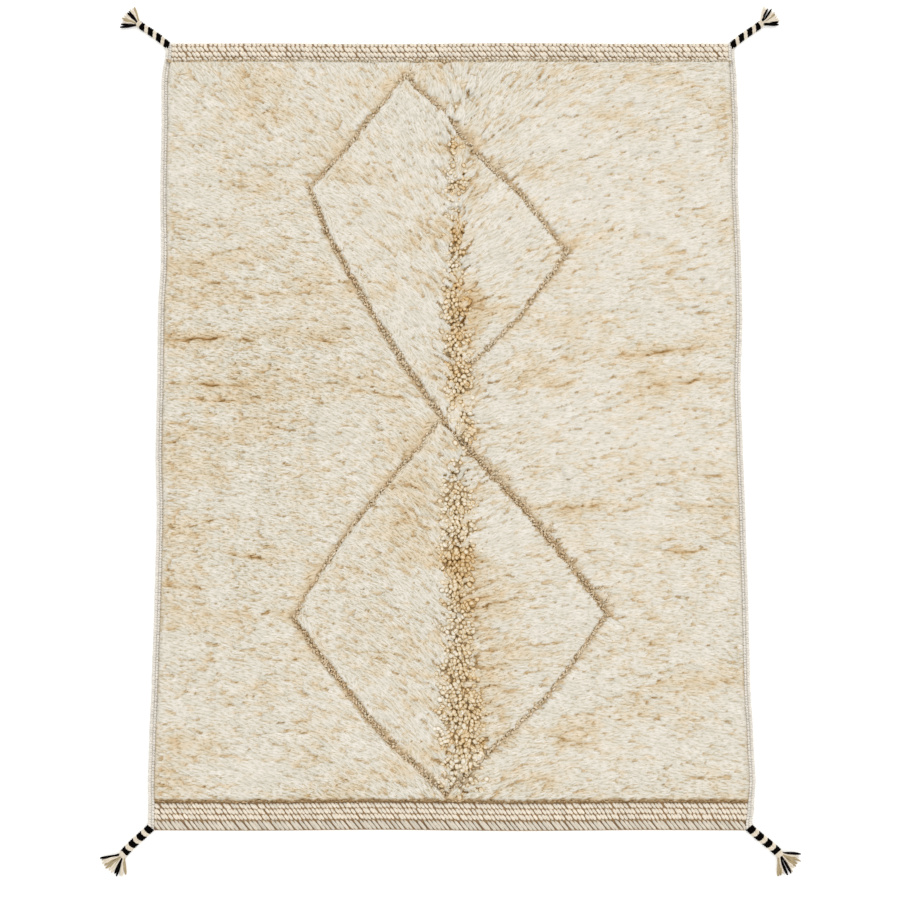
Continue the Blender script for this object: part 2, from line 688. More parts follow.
def near_edge_gap(x):
    """How far the pile stops short of the near band."""
    wave = 0.8 * soft_noise(x, 0 * x, 75, 1, 62) + 0.5 * soft_noise(x, 0 * x, 24, 1, 63)
    return NEAR_EDGE_WAVE * np.clip(0.5 + wave, 0, 1)


# ---------------------------------------------------------------------------
# Meshes


def add_piece(name, mesh, material, slot, *stands_for):
    piece = add_object(name, mesh)
    mesh.materials.append(material)
    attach(piece, "root")
    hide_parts(*stands_for)
    return piece


def new_mesh(name, points, faces, marks, maps):
    """A mesh with numbers kept at its points, and maps with a place for each face's corners."""
    mesh = bpy.data.meshes.new(name)
    corners = np.concatenate([part.ravel() for part in faces])
    sizes = np.concatenate([np.full(len(part), part.shape[1]) for part in faces])
    mesh.vertices.add(points.size // 3)
    mesh.vertices.foreach_set("co", points.ravel())
    mesh.loops.add(len(corners))
    mesh.loops.foreach_set("vertex_index", corners)
    mesh.polygons.add(len(sizes))
    mesh.polygons.foreach_set("loop_start", np.cumsum(sizes) - sizes)
    mesh.update(calc_edges=True)
    for layer, parts in maps.items():
        mesh.uv_layers.new(name=layer).data.foreach_set("uv", np.concatenate(parts).ravel())
    for mark, values in marks.items():
        attribute = mesh.attributes.new(mark, "FLOAT", "POINT")
        attribute.data.foreach_set("value", values.ravel().astype(np.float32))
    return mesh


def strand_pattern(rings, sides, pointed):
    """One strand's faces, as indices of its points and of their places round and along it."""
    whole, step = rings - pointed, 1 / (rings - 1)
    j, ring = (axis.ravel() for axis in np.meshgrid(np.arange(sides), np.arange(whole - 1)))
    k = (j + 1) % sides
    quads = np.stack([j, k, k + sides, j + sides], axis=-1) + ring[:, None] * sides
    left, right, low, high = j / sides, (j + 1) / sides, ring * step, (ring + 1) * step
    quad_maps = np.stack([left, low, right, low, right, high, left, high], axis=-1)
    parts = [(quads, quad_maps.reshape(-1, 4, 2))]
    j, last = np.arange(sides), (whole - 1) * sides
    turns = 2 * math.pi * j / sides
    cap_map = np.stack([0.5 + 0.4 * np.cos(turns), -0.06 + 0.05 * np.sin(turns)], axis=-1)
    if not pointed:
        return [*parts, (np.array([j[::-1], last + j]), np.array([cap_map, cap_map + (0, 1.12)]))]
    tips = np.stack([last + j, last + (j + 1) % sides, 0 * j + whole * sides], axis=-1)
    low = 0 * j + (whole - 1) * step
    tip_maps = [j / sides, low, (j + 1) / sides, low, (j + 0.5) / sides, 0 * j + 1.0]
    tip_maps = np.stack(tip_maps, axis=-1)
    return [*parts, (tips, tip_maps.reshape(-1, 3, 2)), (j[None, ::-1], cap_map[None])]


def add_strands(
    name, material, slot, node, lines, half_widths, half_heights, sides, marks,
    surface=None, lift=(0.0, 0.0, 1.0), roll=0.0,
):
    """Adds a piece of closed strands, each swept along its own line.

    lines hold a point for each ring of each strand, half_widths and half_heights a size, and
    a last width of nothing makes a tip. lift is the way up of the rings, and roll turns them
    about the strand. marks are numbers kept with the points, one for each strand. With a
    surface, a height for each strand or ring, the points also keep how deep they lie below it.
    """
    count, rings = half_widths.shape
    pointed = half_widths[0, -1] == 0
    whole = rings - pointed
    along = np.gradient(lines, axis=1)
    across = normalised(np.cross(np.broadcast_to(lift, along.shape), along))
    upward = normalised(np.cross(along, across))
    cos, sin = np.cos(roll), np.sin(roll)
    across, upward = across * cos + upward * sin, upward * cos - across * sin
    turns = -np.pi / 2 + 2 * np.pi * np.arange(sides)[:, None] / sides
    points = (
        lines[:, :whole, None]
        + (across * half_widths[..., None])[:, :whole, None] * np.cos(turns)
        + (upward * half_heights[..., None])[:, :whole, None] * np.sin(turns)
    ).reshape(count, whole * sides, 3)
    if pointed:
        points = np.concatenate([points, lines[:, -1:]], axis=1)
    points[..., 2] = np.maximum(points[..., 2], FLOOR_CLEARANCE)

    def to_points(values):
        """Numbers for each strand or ring, repeated for the points of each ring."""
        values = np.reshape(values, (count, -1)) + np.zeros(rings)
        spread = np.repeat(values[:, :whole], sides, axis=1)
        return np.concatenate([spread, values[:, -1:]], axis=1) if pointed else spread

    number = np.arange(count)
    cells = math.ceil(math.sqrt(count))
    corner = np.stack([number % cells, number // cells], axis=-1)[:, None, None]
    shift = np.stack([number * 0.618 % 1, number * 0.414 % 1], axis=-1)[:, None, None] * 60
    faces, maps = [], {"OFBake": [], "strand": []}
    for pattern, places in strand_pattern(rings, sides, pointed):
        offsets = number[:, None, None] * points.shape[1]
        faces.append((pattern + offsets).reshape(-1, pattern.shape[1]))
        inner = 0.08 + 0.84 * (places + (0, 0.12)) / (1, 1.24)
        maps["OFBake"].append(((corner + inner) / cells).reshape(-1, 2))
        maps["strand"].append((shift + places).reshape(-1, 2))
    kept = {mark: to_points(values) for mark, values in marks.items()}
    kept["along"] = to_points(np.tile(np.linspace(0, 1, rings), (count, 1)))
    if surface is not None:
        kept["depth"] = to_points(surface) - points[..., 2]
    add_piece(name, new_mesh(name, hand_woven(points), faces, kept, maps), material, slot, node)


def row_normals(xs, ys, top, row):
    """Unit normals along one row of a grid of heights, the same for the slabs on both sides."""
    near, here, far = (
        hand_woven(np.stack([xs, 0 * xs + ys[at], top[at]], axis=-1))
        for at in (row - 1, row, row + 1)
    )
    return normalised(np.cross(np.gradient(here, axis=0), far - near))


def slab_mesh(name, xs, ys, top, bottom, marks, fibre_map=None, end_normals=()):
    """A closed slab over a grid, with a height for each point of its top and a flat underside."""
    upper = np.stack([*np.meshgrid(xs, ys), top], axis=-1).reshape(-1, 3)
    index = np.arange(len(upper)).reshape(top.shape)
    rim = np.concatenate([index[0, :-1], index[:-1, -1], index[-1, :0:-1], index[:0:-1, 0]])
    points = hand_woven(np.concatenate([upper, upper[rim] * (1, 1, 0) + (0, 0, bottom)]))
    tops = np.stack([index[:-1, :-1], index[:-1, 1:], index[1:, 1:], index[1:, :-1]], axis=-1)
    tops = tops.reshape(-1, 4)
    below = len(upper) + np.arange(len(rim))
    walls = np.stack([rim, below, np.roll(below, -1), np.roll(rim, -1)], axis=-1)

    share = (points[:, :2] - (xs[0], ys[0])) / (xs[-1] - xs[0], ys[-1] - ys[0])
    steps = np.arange(len(rim)) / len(rim)
    after = steps + 1 / len(rim)
    wall_u = np.stack([steps, steps, after, after], axis=-1) * 0.96 + 0.02
    wall_v = np.tile([0.075, 0.060, 0.060, 0.075], (len(rim), 1))
    wall_map = np.stack([wall_u, wall_v], axis=-1).reshape(-1, 2)
    under_map = share[rim[::-1]] * (0.96, 0.03) + (0.02, 0.01)
    top_map = share[tops.ravel()] * (0.96, 0.88) + (0.02, 0.10)
    maps = {"OFBake": [top_map, wall_map, under_map]}
    if fibre_map:
        maps["strand"] = [fibre_map(tops), wall_map * 20, under_map * 20]
    kept = {mark: np.append(values, values.ravel()[rim]) for mark, values in marks.items()}
    mesh = new_mesh(name, points, [tops, walls, below[None, ::-1]], kept, maps)
    mesh.polygons.foreach_set("use_smooth", np.arange(len(mesh.polygons)) < len(tops))
    if end_normals:
        normals = np.zeros(points.shape)
        for row, values in end_normals:
            normals[index[row]] = values
        mesh.normals_split_custom_set_from_vertices(normals.tolist())
    return mesh


def build_ground(material):
    """The flat weave that the pile is knotted on and the end bands are twined over."""
    xs = np.linspace(-SELVEDGE_INSIDE, SELVEDGE_INSIDE, 40)
    ys = np.linspace(-HALF_LENGTH + GROUND_INSET, HALF_LENGTH - GROUND_INSET, 60)
    top = np.full((len(ys), len(xs)), GROUND_TOP)
    mesh = slab_mesh("ground_weave", xs, ys, top, GROUND_BOTTOM, {})
    replaced = ("pile_field", "end_band_top", "end_band_bottom")
    return add_piece("ground_weave", mesh, material, "band_wool", *replaced)


# ---------------------------------------------------------------------------
# The pile


def stepped(x, y, lean, distance):
    """Points moved by a distance in the direction of their lean."""
    return x + distance * np.cos(lean), y + distance * np.sin(lean)


def kept_off(x, y, side, clearance, normal):
    """Points moved off a line, to the side that they are on, as far as they lack clearance."""
    push = np.sign(side) * np.clip(clearance - np.abs(side), 0, None)
    return x + push * normal[:, 0], y + push * normal[:, 1]


def turn_to(target, lean, ends=1):
    """The smallest turn from a lean to a target, or with two ends to either way along it."""
    return np.angle(np.exp(1j * ends * (target - lean))) / ends


def jittered_grid(kind, chance, low_x=-PILE_X, high_x=PILE_X):
    """A staggered grid of points over the pile, each moved a little."""
    step = kind["step"]
    rows = np.arange(PILE_BOTTOM_Y + step / 3, PILE_TOP_Y - step / 3, step * math.sqrt(3) / 2)
    x, y = np.meshgrid(np.arange(low_x + step / 3, high_x - step / 3, step), rows)
    x[1::2] += step / 2
    spread = kind["jitter"] * step
    return [axis.ravel() + chance.uniform(-spread, spread, axis.size) for axis in (x, y)]


def stop_at_lines(x, y, lean, reach, half_width, chance):
    """Shortens each lock's reach in plan so that its tip stops at the edge of a lozenge line."""
    step = unit(lean)
    ragged = chance.uniform(0.2, 1.1, len(x))
    for line, start, end, direction, normal, length in line_parts():
        away = np.stack([x, y], axis=-1) - start[:2]
        side = away @ normal
        approach = -(step @ normal) * np.sign(side)
        edge = line[0] * ragged * np.clip(start[2] + 0.4, 0, 1) + 0.35 * half_width
        to_edge = (np.abs(side) - edge) / np.maximum(approach, NEARLY_NOTHING)
        along = away @ direction + to_edge * (step @ direction)
        hits = (approach > 0.03) & (to_edge < reach) & (along > -0.005) & (along < length + 0.005)
        reach = np.where(hits, np.maximum(to_edge, SHORTEST_REACH), reach)
    return reach


def stop_at_rim(x, y, lean, reach, chance):
    """Shortens each lock's reach so that its tip hangs only a little way past the pile's edge."""
    step_x, step_y = unit(lean).T
    side, top, bottom = (chance.uniform(*overhang, len(x)) for overhang in OVERHANGS)
    to_side = (PILE_X + side - x * np.sign(step_x)) / np.maximum(np.abs(step_x), NEARLY_NOTHING)
    end = np.where(step_y > 0, PILE_TOP_Y + top - y, y - (PILE_BOTTOM_Y - bottom))
    to_end = end / np.maximum(np.abs(step_y), NEARLY_NOTHING)
    return np.minimum(reach, np.maximum(np.minimum(to_side, to_end), SHORTEST_REACH))


def bend_shares(rise_root, rise_tip, shares=1.0):
    """How far a bending lock of unit length has gone out and up, at shares of its length."""
    bend = rise_tip - rise_root
    rise = rise_root + bend * shares
    return (np.sin(rise) - np.sin(rise_root)) / bend, (np.cos(rise_root) - np.cos(rise)) / bend


def lock_lines(x, y, base, lean, rise_root, rise_tip, length, shift, shares=STRAND_SHARES):
    """Points along locks that bend from one rise to another and drift sideways."""
    x, y, base, lean, rise_root, rise_tip, length, shift = (
        values[:, None] for values in (x, y, base, lean, rise_root, rise_tip, length, shift)
    )
    out, up = bend_shares(rise_root, rise_tip, shares)
    line_x, line_y = stepped(x, y, lean, length * out)
    line_x, line_y = stepped(line_x, line_y, lean + np.pi / 2, shift * shares**2)
    return np.stack([line_x, line_y, base + length * up], axis=-1)


def raised_locks(kind, x, y, lean, reach, half_width, crest, keep, chance):
    """The kept ones of some locks, with their heights above the surface at their crests."""
    count = len(x)
    lock = {
        "x": x,
        "y": y,
        "lean": lean,
        "reach": reach,
        "half_width": half_width,
        "top": surface_at(*crest) + kind["lift"] + chance.normal(0, kind["unevenness"], count),
        "half_height": chance.uniform(*kind["half_height"], count),
        "root_drop": chance.uniform(*kind["root_drop"], count),
        "tone": chance.normal(0, kind["tone_spread"], count),
    }
    return {key: values[keep] for key, values in lock.items()}


def field_locks(kind, chance):
    """Locks of one kind over the field: they part at clefts, keep off the lozenge lines and
    leave the parting bare."""
    x, y = jittered_grid(kind, chance)
    half_width = chance.uniform(*kind["half_width"], len(x))
    length = chance.uniform(*kind["length"], len(x))
    lean = lean_of(x, y) + chance.normal(0, LEAN_SPREAD, len(x))

    side, outward, line_half, darkness = read_lines(x, y)
    fan = np.where(side > 0, FAN_TURN * bell(side, FAN_REACH), 0)
    lean = lean + fan * turn_to(np.arctan2(outward[:, 1], outward[:, 0]), lean)
    x, y = kept_off(x, y, side, 0.8 * line_half + 0.5 * half_width, outward)

    cleft, strong, side, normal = read_clefts(*stepped(x, y, lean, 0.45 * length))
    x, y = kept_off(x, y, side, CLEFT_CLEARANCE * half_width * strong, normal)
    ahead = np.arctan2(-normal[:, 0], normal[:, 1])
    opening = CLEFT_OPENING * np.sign(side * np.cos(lean - ahead))
    lean = lean + cleft * (0.8 * turn_to(ahead, lean, 2) + opening)

    parting = parting_share(x, y)
    close = bell(x - PARTING_X, 1.6 * PARTING_BLEND)
    x, y = stepped(x, y, lean, -0.55 * close * length)
    keep = (np.abs(x) < PILE_X - 0.004) & (y < PILE_TOP_Y - 0.004) & (y > PILE_BOTTOM_Y + 0.003)
    keep &= chance.uniform(0.25, 1.0, len(x)) > 1.2 * parting
    reach = stop_at_lines(x, y, lean, length * (1 - 0.4 * parting), half_width, chance)
    reach = stop_at_rim(x, y, lean, reach, chance)
    crest = stepped(x, y, lean, CREST_AT * reach)
    lock = raised_locks(kind, x, y, lean, reach, half_width, crest, keep, chance)
    lock["half_width"] *= np.clip(lock["reach"] / 0.020, 0.6, 1)
    lock["root_drop"] *= read_patches(lock["x"], lock["y"])[1]
    lock["tone"] += 1.2 * soft_noise(lock["x"], lock["y"], 22, 40, 31)
    return lock


def press_locks(xs, ys, height, lock, tip_drop):
    """Raises a grid of heights to the locks that lie over it, and tells which is on top.

    A lock rises from its root to its crest, drops a little to its tip and is domed across.
    """
    owner = np.full(height.shape, -1)
    middle = stepped(lock["x"], lock["y"], lock["lean"], lock["reach"] / 2)
    radius = np.hypot(lock["reach"] / 2, lock["half_width"])
    columns, rows = (
        np.searchsorted(axis, [centre - radius, centre + radius]).T
        for axis, centre in zip((xs, ys), middle)
    )
    cos, sin = np.cos(lock["lean"]), np.sin(lock["lean"])
    for n, reach in enumerate(lock["reach"]):
        patch = (slice(*rows[n]), slice(*columns[n]))
        away_x, away_y = xs[patch[1]] - lock["x"][n], ys[patch[0], None] - lock["y"][n]
        share = (away_x * cos[n] + away_y * sin[n]) / reach
        width = np.sqrt(np.clip(1 - (2 * share - 1) ** 4, 1e-9, 1)) * lock["half_width"][n]
        across = (away_y * cos[n] - away_x * sin[n]) / width
        dome = np.sqrt(np.clip(1 - across**2, 0, 1))
        behind, past = np.clip(1 - share / CREST_AT, 0, 1), np.clip(share - CREST_AT, 0, 1)
        level = lock["top"][n] - lock["root_drop"][n] * behind**2
        level -= tip_drop * (past / (1 - CREST_AT)) ** 2 + lock["half_height"][n] * (1 - dome)
        higher = (np.abs(across) < 1) & (share > 0) & (share < 1) & (level > height[patch])
        height[patch][higher] = level[higher]
        owner[patch][higher] = n
    return owner


def hollows(height):
    """How far each point of a grid of heights lies below the mean round it."""
    padded = np.pad(height, HOLLOW_REACH, mode="edge")
    steps = range(2 * HOLLOW_REACH + 1)
    rows, columns = height.shape
    total = sum(padded[i : i + rows, j : j + columns] for i in steps for j in steps)
    return np.clip(total / len(steps) ** 2 - height, 0, None)


def build_pelt(material):
    """The pile's surface, as slabs side by side with one form."""
    edge_x = PILE_X + PELT_SIDE_REACH
    low_y, high_y = PILE_BOTTOM_Y + PELT_INSET, PILE_TOP_Y + PELT_FAR_REACH
    xs = np.concatenate([
        np.arange(-edge_x, FINE_FROM, COARSE_X),
        np.arange(FINE_FROM, FINE_TO, FINE_X),
        edge_x - np.arange(0, edge_x - FINE_TO, COARSE_X)[::-1],
    ])
    ys = np.linspace(low_y, high_y, round((high_y - low_y) / STEP_Y))
    shape = (len(ys), len(xs))
    x, y = (axis.ravel() for axis in np.meshgrid(xs, ys))
    parting = parting_share(x, y)
    line_side, outward, line_half, darkness = read_lines(x, y)
    in_line = np.clip(1.4 - np.abs(line_side) / LINE_REACH, 0, 1) * np.clip(1.2 * darkness, 0, 1)
    surface = pile_height(x, y)
    bare = PELT_BARE_DEPTH + PELT_PARTING_DEPTH * parting + PELT_LINE_DEPTH * in_line
    height = (surface - bare).reshape(shape)

    lock = field_locks(BROAD_LOCKS, draws(0))
    owner = press_locks(xs, ys, height, lock, BROAD_LOCKS["tip_drop"])
    nearness, strong, side, normal = read_clefts(x, y)
    height -= CLEFT_DEPTH * (strong * bell(side, CLEFT_HALF_WIDTH)).reshape(shape)

    foot = GROUND_TOP + PIECE_GAP
    from_near = (y - low_y - near_edge_gap(x)).reshape(shape)
    from_side = (edge_x - np.abs(x)) * PELT_ROUNDING / PELT_SIDE_ROUNDING
    from_edge = np.minimum(from_side, high_y - y).reshape(shape)
    near_edge = 1 - np.clip(np.minimum(from_edge, from_near) / PELT_ROUNDING, 0, 1)
    near_seam = 1 - np.clip(from_near / PELT_ROUNDING, 0, 1)
    edge = foot + PELT_EDGE
    top = edge + (height.clip(foot + PELT_THINNEST) - edge) * np.sqrt(1 - near_edge**2)
    warmth, rough = read_patches(x, y)
    depth = surface.reshape(shape) - height
    marks = {
        "depth": (PELT_DEPTH_SHARE * depth + hollows(height)) * (1 - 0.9 * near_edge)
        + NEAR_EDGE_DEPTH * near_seam**2,
        "warmth": (warmth + 0.40 * parting + CLEFT_WARMTH * nearness).reshape(shape),
        "rough": rough.reshape(shape),
        "tone": np.where(owner < 0, 0, lock["tone"][owner]),
        "brown": in_line.reshape(shape) * np.clip(depth / 0.004 - 0.2, 0, 1),
    }
    for panel, rows in enumerate(np.array_split(np.arange(len(ys)), PELT_PANELS)):
        if panel + 1 < PELT_PANELS:
            rows = np.append(rows, rows[-1] + 1)

        def fibre_map(tops, rows=rows):
            """Each face's corners along and across the lock that owns its first corner."""
            owners = owner[rows].ravel()[tops[:, 0], None]
            corner_x = np.tile(xs, len(rows))[tops] - lock["x"][owners]
            corner_y = np.repeat(ys[rows], len(xs))[tops] - lock["y"][owners]
            cos, sin = np.cos(lock["lean"])[owners], np.sin(lock["lean"])[owners]
            across = (corner_y * cos - corner_x * sin) / FIBRE_WIDTH
            along = (corner_x * cos + corner_y * sin) / FIBRE_LENGTH
            return np.stack([across + owners % 7, along], axis=-1).reshape(-1, 2)

        shared = [(end, rows[end]) for end in (0, -1) if 0 < rows[end] < len(ys) - 1]
        normals = [(end, row_normals(xs, ys, top, row)) for end, row in shared]
        name = f"pile_pelt_{panel + 1}"
        part_marks = {mark: values[rows] for mark, values in marks.items()}
        mesh = slab_mesh(name, xs, ys[rows], top[rows], foot, part_marks, fibre_map, normals)
        add_piece(name, mesh, material, "pile_ivory", "pile_field")


def build_nubs(material):
    """Blunt ends of wool along the parting, which hang down one over the other."""
    chance = draws(12)
    x, y = jittered_grid(NUBS, chance, PARTING_X - PARTING_REACH, PARTING_X + PARTING_REACH)
    share = parting_share(x, y)
    keep = (2.6 * share > chance.uniform(0.25, 1, len(x))) & (y > PILE_BOTTOM_Y + 0.016)
    keep &= (y < PILE_TOP_Y - 0.006) & (np.abs(read_lines(x, y)[0]) > LINE_REACH)
    along = np.exp(1j * PARTING_LEAN) * share + np.exp(1j * lean_of(x, y)) * (1 - share)
    lean = np.angle(along) + chance.normal(0, PARTING_LEAN_SPREAD, len(x))
    half_width = chance.uniform(*NUBS["half_width"], len(x))
    reach = chance.uniform(*NUBS["length"], len(x))
    nub = raised_locks(NUBS, x, y, lean, reach, half_width, (x, y), keep, chance)

    x, y, top, half_height = nub["x"], nub["y"], nub["top"], nub["half_height"]
    rise_root, rise_tip = (
        chance.normal(math.radians(rise), math.radians(8), len(x)) for rise in NUB_RISES
    )
    length = nub["reach"] / bend_shares(rise_root, rise_tip)[0]
    base = top - half_height - NUB_SINK * length
    shift = chance.normal(0, NUB_DRIFT, len(x))
    lines = lock_lines(x, y, base, nub["lean"], rise_root, rise_tip, length, shift, NUB_SHARES)
    warmth, rough = read_patches(x, y)
    warmth += NUB_WARMTH * (1 + parting_share(x, y))
    add_strands(
        "pile_nubs", material, "pile_ivory", "pile_field", lines,
        nub["half_width"][:, None] * NUB_SWELL, half_height[:, None] * NUB_SWELL, 7,
        {"tone": nub["tone"], "warmth": warmth, "rough": rough}, surface=top - NUB_SURFACE_DROP,
    )


def build_rim(material):
    """Short locks that hang over the pile's far edge, onto the band."""
    chance = draws(1)
    x = np.repeat(np.arange(-PILE_X + 0.004, PILE_X - 0.004, RIM_LOCK_STEP), 2)
    count = len(x)
    x = x + chance.uniform(-RIM_JITTER, RIM_JITTER, count)
    y = PILE_TOP_Y - RIM_ROOT_INSET + chance.uniform(-RIM_JITTER, RIM_JITTER, count)
    away = turn_to(lean_of(x, y), math.pi / 2)
    lean = math.pi / 2 + np.clip(away, -0.7, 0.7) + chance.normal(0, 0.2, count)
    base = np.tile(RIM_LEVELS, count // 2) + chance.uniform(-0.001, 0.001, count)
    rises = [math.radians(rise) + chance.normal(0, 0.1, count) for rise in RIM_RISES]
    length = chance.uniform(*RIM_LOCK_LENGTH, count)
    lines = lock_lines(x, y, base, lean, *rises, length, chance.normal(0, 0.002, count))
    roll = chance.normal(0, STRAND_ROLL, (count, 1, 1))
    half_widths = chance.uniform(*RIM_LOCK_HALF_WIDTH, (count, 1)) * STRAND_SWELL
    half_heights = chance.uniform(*RIM_LOCK_HALF_HEIGHT, (count, 1)) * STRAND_SWELL
    warmth, rough = read_patches(x, y)
    add_strands(
        "pile_rim", material, "pile_ivory", "pile_field", lines, half_widths, half_heights, 3,
        {"tone": chance.normal(0, 0.5, count), "warmth": warmth, "rough": rough},
        surface=lines[..., 2] + STRAND_DEPTH, roll=roll,
    )


def build_lozenges(material):
    """Short curly brown tufts along the lozenge lines, a little lower than the ivory pile."""
    chance = draws(2)
    columns = []
    for (half_width, spill, turn), start, end, direction, normal, length in line_parts():
        count = int(length * LINE_TUFTS)
        share = chance.uniform(0, 1, count)
        darkness = start[2] + (end[2] - start[2]) * share
        middle = start[:2] + (end - start)[:2] * share[:, None]
        thin = 0.85 + 0.45 * soft_noise(*middle.T, 16, 16, 50)
        side = chance.normal(0, 0.62, count).clip(-1.1, 1.5) * half_width * thin
        spilt = chance.uniform(0, 1, count) < spill * darkness
        side = np.where(spilt, chance.uniform(0, 1, count) ** 1.5 * LINE_SPILL, side)
        middle = middle + normal * side[:, None]
        dark = darkness * (0.5 + 0.5 * soft_noise(*middle.T, 26, 26, 51))
        dark = (dark + chance.normal(0, 0.22, count) - 14 * np.abs(side)).clip(0, 1)
        lean = math.radians(turn) + chance.normal(0, math.radians(35), count)
        keep = chance.uniform(0, 1, count) < 0.45 + 0.55 * darkness
        columns.append(np.stack([*middle.T, dark, lean])[:, keep])
    x, y, dark, lean = np.concatenate(columns, axis=1)
    count = len(x)
    rises = [np.radians(chance.uniform(*rise, count)) for rise in LINE_TUFT_RISES]
    length = chance.uniform(*LINE_TUFT_LENGTH, count)
    out_share, up_share = bend_shares(*rises)
    base = pile_height(x, y) + chance.normal(0, 0.0010, count) - up_share * length
    x, y = stepped(x, y, lean, -0.5 * out_share * length)
    shift = chance.normal(0, LINE_TUFT_CURL, count)
    lines = lock_lines(x, y, base.clip(LOCK_FOOT), lean, *rises, length, shift)
    half = chance.uniform(*LINE_TUFT_HALF_WIDTH, (count, 1)) * STRAND_SWELL
    add_strands(
        "pile_lozenges", material, "pile_brown", "pile_field", lines, half, 0.7 * half, 3,
        {"tone": chance.normal(0, 0.8, count), "warmth": dark},
        surface=surface_at(lines[..., 0], lines[..., 1]),
    )


def build_seam(material):
    """Brown yarn that shows between the roots of the last row of knots and the near band."""
    chance = draws(6)
    count = SEAM_TUFTS
    x = np.sort(chance.uniform(-PILE_X + 0.006, PILE_X - 0.006, count))
    y = PILE_BOTTOM_Y + chance.uniform(*SEAM_TUFT_INSET, count) + 0.7 * near_edge_gap(x)
    lean = np.where(chance.uniform(0, 1, count) < 0.6, 2.5, 0.4) + chance.normal(0, 0.4, count)
    base = chance.uniform(*SEAM_TUFT_BASE, count)
    rises = [np.radians(chance.uniform(*rise, count)) for rise in SEAM_TUFT_RISES]
    length = chance.uniform(*SEAM_TUFT_LENGTH, count)
    lines = lock_lines(x, y, base, lean, *rises, length, chance.normal(0, 0.001, count))
    half = chance.uniform(*SEAM_TUFT_HALF_WIDTH, (count, 1)) * STRAND_SWELL
    dark = np.clip(0.60 + 0.6 * soft_noise(x, 0 * x, 24, 1, 61), 0, 1)
    add_strands(
        "pile_seam", material, "pile_brown", "pile_field", lines, half, 0.8 * half, 3,
        {"tone": chance.normal(0, 0.6, count), "warmth": dark},
        surface=np.full(count, SEAM_SURFACE),
    )


# ---------------------------------------------------------------------------
# The bands and the bound sides


def build_band(side, edge_y, ribs, node, material):
    """Rows of slanted twined stitches, each row arched from one groove to the next."""
    chance = draws(7 if side > 0 else 8)
    lines, tones, widths = [], [], []
    inner = edge_y + side * PIECE_GAP
    arch = np.sin(np.pi * np.clip(STITCH_SHARES, 0.06, 0.94)) ** 0.7
    for width, crest in ribs:
        edge_row = width > EDGE_ROW_FROM
        step = STITCH_PITCH if side > 0 or edge_row else BEAD_PITCH
        columns = round(2 * SELVEDGE_INSIDE / step)
        count = columns + 2
        run = width / math.tan(STITCH_SLANT)
        pitch = (2 * SELVEDGE_INSIDE - run) / columns
        middle_x = -SELVEDGE_INSIDE + run / 2 + (np.arange(-1, columns + 1) + 0.5) * pitch
        middle_x = middle_x + chance.normal(0, 0.0011, count)
        shares = 0.5 + (STITCH_SHARES - 0.5) * (EDGE_ROW_STRETCH if edge_row else 1.0)
        height = crest + chance.normal(0, 0.0006, count) - STITCH_HALF_HEIGHT
        line_x = np.clip(middle_x[:, None] + run * (0.5 - shares), -BAND_REACH, BAND_REACH)
        line_y = min(inner, inner + side * width) + width * shares
        line_y = line_y + chance.normal(0, 0.0006, (count, 1))
        line_z = STITCH_FOOT + (height[:, None] - STITCH_FOOT) * arch
        lines.append(np.stack([line_x, line_y, line_z], axis=-1))
        tones.append(chance.normal(EDGE_ROW_TONE if edge_row else 0.0, 0.7, count))
        width_share = EDGE_ROW_WIDTH if edge_row else step / STITCH_PITCH
        widths.append(np.full(count, STITCH_HALF_WIDTH * width_share))
        inner += side * width
    lines, tones, widths = (np.concatenate(parts) for parts in (lines, tones, widths))
    lines[..., 1] = lines[..., 1].clip(-HALF_LENGTH + END_CLEARANCE, HALF_LENGTH - END_CLEARANCE)
    widths = widths * chance.uniform(0.88, 1.08, len(lines))
    half_widths = widths[:, None] * STITCH_SWELL
    half_heights = 0 * half_widths + STITCH_HALF_HEIGHT * STITCH_SWELL
    marks = {"tone": tones, "warmth": chance.uniform(0, 1, len(lines))}
    name = f"{node}_stitches"
    add_strands(name, material, "band_wool", node, lines, half_widths, half_heights, 6, marks)


def wrap_lines(side, arch, pitch, chance):
    """Lines of the wraps over one arch of a bound side, at an even pitch along it."""
    from_inside, height = np.array(arch).T
    count = round(2 * HALF_LENGTH / pitch)
    middle_y = -HALF_LENGTH + (np.arange(count) + 0.5) * 2 * HALF_LENGTH / count
    middle_y = middle_y[:, None] + chance.normal(0, 0.0004, (count, 1))
    slant = np.linspace(-WRAP_SLANT, WRAP_SLANT, len(arch))
    line_x = side * (SELVEDGE_INSIDE + from_inside) + 0 * middle_y
    end = HALF_LENGTH - from_inside - END_CLEARANCE
    line_y = np.clip(middle_y - side * slant, -end, end)
    return np.stack([line_x, line_y, height + chance.normal(0, 0.0002, (count, 1))], axis=-1)


def build_selvedge(side, node, material):
    """The wraps over the inner strip and the outer cord of one bound side."""
    chance = draws(9 if side > 0 else 10)
    for part, arch, pitch, tone in SELVEDGE_PARTS:
        lines = wrap_lines(side, arch, pitch, chance)
        count, rings = lines.shape[:2]
        swell = np.sin(np.pi * np.linspace(0.2, 0.8, rings))
        half_widths = 0.58 * pitch * chance.uniform(0.92, 1.08, (count, 1)) * swell
        half_heights = 0 * half_widths + WRAP_HALF_HEIGHT * swell
        marks = {"tone": chance.normal(tone, 1.0, count), "warmth": chance.uniform(0, 1, count)}
        name = f"{node}_{part}"
        add_strands(
            name, material, "selvedge_wool", node, lines, half_widths, half_heights, 5, marks
        )


# ---------------------------------------------------------------------------
# The corner braids


